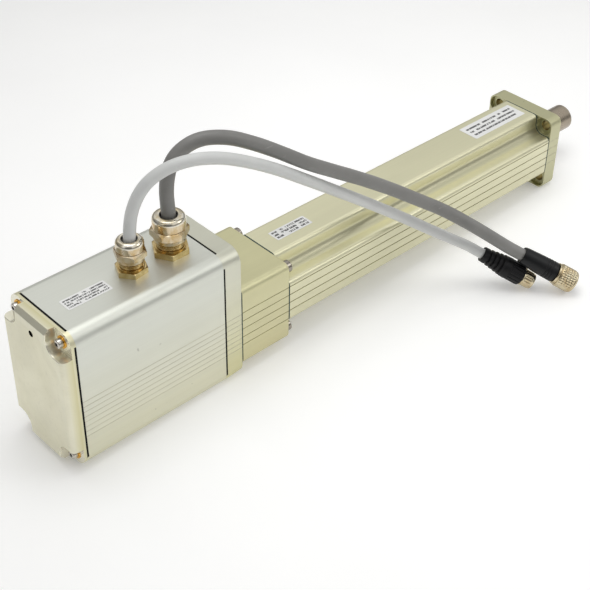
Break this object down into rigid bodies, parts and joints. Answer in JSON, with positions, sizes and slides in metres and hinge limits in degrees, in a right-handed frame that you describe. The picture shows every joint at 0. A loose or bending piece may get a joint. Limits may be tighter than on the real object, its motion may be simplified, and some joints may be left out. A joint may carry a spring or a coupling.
{
  "type": "electric linear actuator",
  "caption": "Electric linear actuator: inline motor housing with two cable glands and cables, coupling housing, channelled cylinder tube, square front flange and round push rod.",
  "frame": {"origin": "centre of the rear cover's outer face, on the push rod's axis", "axes": "+X along the rod towards its free end, +Z towards the cable glands, +Y to the left seen from the rear with the glands up, so the plugs are on the -Y side"},
  "size_m": [0.618, 0.1979, 0.2153],
  "materials": {
    "cover_metal": "bead-blasted cast cover, warm silver",
    "housing_silver": "satin anodised, silver",
    "anodised_champagne": "satin anodised, pale champagne",
    "brass": "polished washer",
    "screw_steel": "machined screw, socket head",
    "gasket_rubber": "flat rubber sheet, very dark green to black",
    "rod_steel": "ground and polished steel",
    "nut_steel": "turned dark steel",
    "bush_bronze": "sintered bearing bronze",
    "copper_winding": "varnished winding and laminations",
    "wiper_rubber": "moulded rubber",
    "guide_plastic": "filled plastic guide band",
    "spider_plastic": "elastomer coupling insert",
    "nickel": "nickel-plated brass, bright",
    "encoder_metal": "polished encoder disc",
    "board_laminate": "circuit board with components",
    "cable_light": "smooth light grey cable sheath",
    "cable_dark": "smooth dark grey cable sheath",
    "plug_black": "moulded black plug",
    "label_white": "blank adhesive label"
  },
  "bodies": {
    "frame_body": {"rear_cover": "cover_metal", "cover_screw_1": "screw_steel", "cover_screw_2": "screw_steel", "cover_screw_3": "screw_steel", "cover_screw_4": "screw_steel", "cover_washer_1": "brass", "cover_washer_2": "brass", "cover_washer_3": "brass", "cover_washer_4": "brass", "vent_plug": "screw_steel", "rear_gasket": "gasket_rubber", "motor_housing": "housing_silver", "motor_front_gasket": "gasket_rubber", "adapter_plate": "housing_silver", "adapter_gasket": "gasket_rubber", "coupling_housing": "anodised_champagne", "housing_screw_1": "screw_steel", "housing_screw_2": "screw_steel", "housing_screw_3": "screw_steel", "housing_screw_4": "screw_steel", "tube_rear_gasket": "gasket_rubber", "actuator_tube": "anodised_champagne", "tube_front_gasket": "gasket_rubber", "front_flange": "anodised_champagne", "rod_bush": "bush_bronze", "rod_wiper": "wiper_rubber", "thrust_bearing_outer": "rod_steel", "stator": "copper_winding", "motor_bearing_rear": "rod_steel", "motor_bearing_front": "rod_steel", "motor_end_shield": "housing_silver", "drive_board": "board_laminate", "small_gland_body": "nickel", "small_gland_nut": "nickel", "small_gland_seal": "wiper_rubber", "large_gland_body": "nickel", "large_gland_nut": "nickel", "large_gland_seal": "wiper_rubber", "signal_cable": "cable_light", "power_cable": "cable_dark", "signal_plug_body": "plug_black", "power_plug_body": "plug_black", "motor_label": "label_white", "tube_label_rear": "label_white", "tube_label_front": "label_white"},
    "rod_assembly": {"rod": "rod_steel", "nut_carrier": "nut_steel", "ball_nut": "nut_steel", "guide_ring": "guide_plastic"},
    "screw_assembly": {"ball_screw": "rod_steel", "thrust_bearing_inner": "rod_steel", "coupling_hub_screw": "nut_steel", "coupling_spider": "spider_plastic", "coupling_hub_motor": "nut_steel", "motor_shaft": "rod_steel", "rotor_magnets": "nut_steel", "encoder_disc": "encoder_metal"},
    "signal_nut": {"signal_plug_nut": "nickel"},
    "power_ring": {"power_plug_ring": "nickel"}
  },
  "joints": [
    {"name": "rod_slide", "type": "slide", "parent": "frame_body", "child": "rod_assembly", "axis": [1, 0, 0], "range_m": [0, 0.25]},
    {"name": "screw_spin", "type": "hinge", "parent": "frame_body", "child": "screw_assembly", "pos_m": [0.3, 0, 0], "axis": [1, 0, 0], "continuous": true},
    {"name": "signal_nut_spin", "type": "hinge", "parent": "frame_body", "child": "signal_nut", "pos_m": [0.4147, -0.12319, -0.0315], "axis": [0.538, -0.7048, -0.4624], "continuous": true},
    {"name": "power_ring_spin", "type": "hinge", "parent": "frame_body", "child": "power_ring", "pos_m": [0.43554, -0.14741, -0.02734], "axis": [0.5584, -0.6888, -0.4623], "continuous": true}
  ],
  "couplings": [
    {"joint": "screw_spin", "follows": "rod_slide", "rad_per_m": 392.7}
  ]
}
